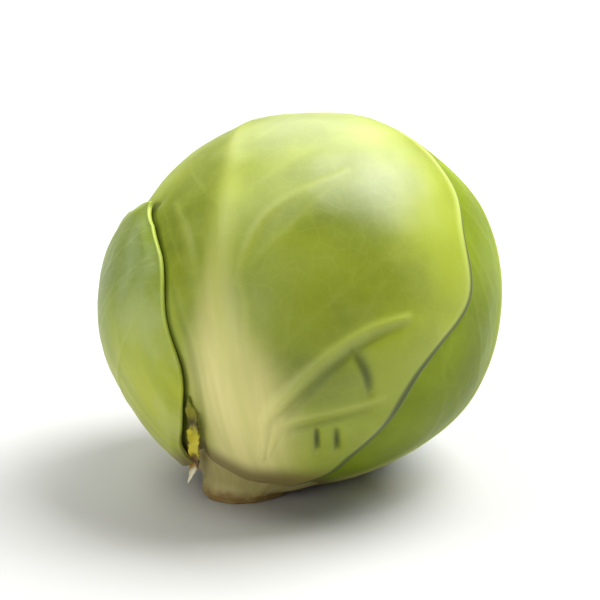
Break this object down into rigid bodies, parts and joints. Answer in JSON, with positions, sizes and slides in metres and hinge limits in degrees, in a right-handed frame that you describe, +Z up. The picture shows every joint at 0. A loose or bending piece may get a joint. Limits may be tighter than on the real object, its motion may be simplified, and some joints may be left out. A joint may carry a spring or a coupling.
{
  "type": "brussels sprout",
  "caption": "Round trimmed Brussels sprout with a cut stalk and overlapping ribbed wrapper leaves, lying tilted on the stalk and its lowest leaf.",
  "frame": {"origin": "centre of the object's box in X and Y, on the surface that the sprout lies on", "axes": "+Z up; -Y towards the side that the picture shows, with the central midrib; the stalk is at -X -Y and the tip leans towards +X +Y"},
  "size_m": [0.0356, 0.0354, 0.0323],
  "materials": {
    "cut_stalk": "matte",
    "inner_leaf": "satin",
    "green_leaf": "satin",
    "dark_leaf": "satin"
  },
  "bodies": {
    "root": {"stalk": "cut_stalk", "inner_head": "inner_leaf", "leaf_crown_front": "inner_leaf", "leaf_crown_back": "inner_leaf", "leaf_inner_left": "inner_leaf", "leaf_right": "green_leaf", "leaf_back_left": "green_leaf", "leaf_front": "green_leaf", "leaf_back_right": "dark_leaf", "leaf_left": "green_leaf"}
  },
  "joints": []
}
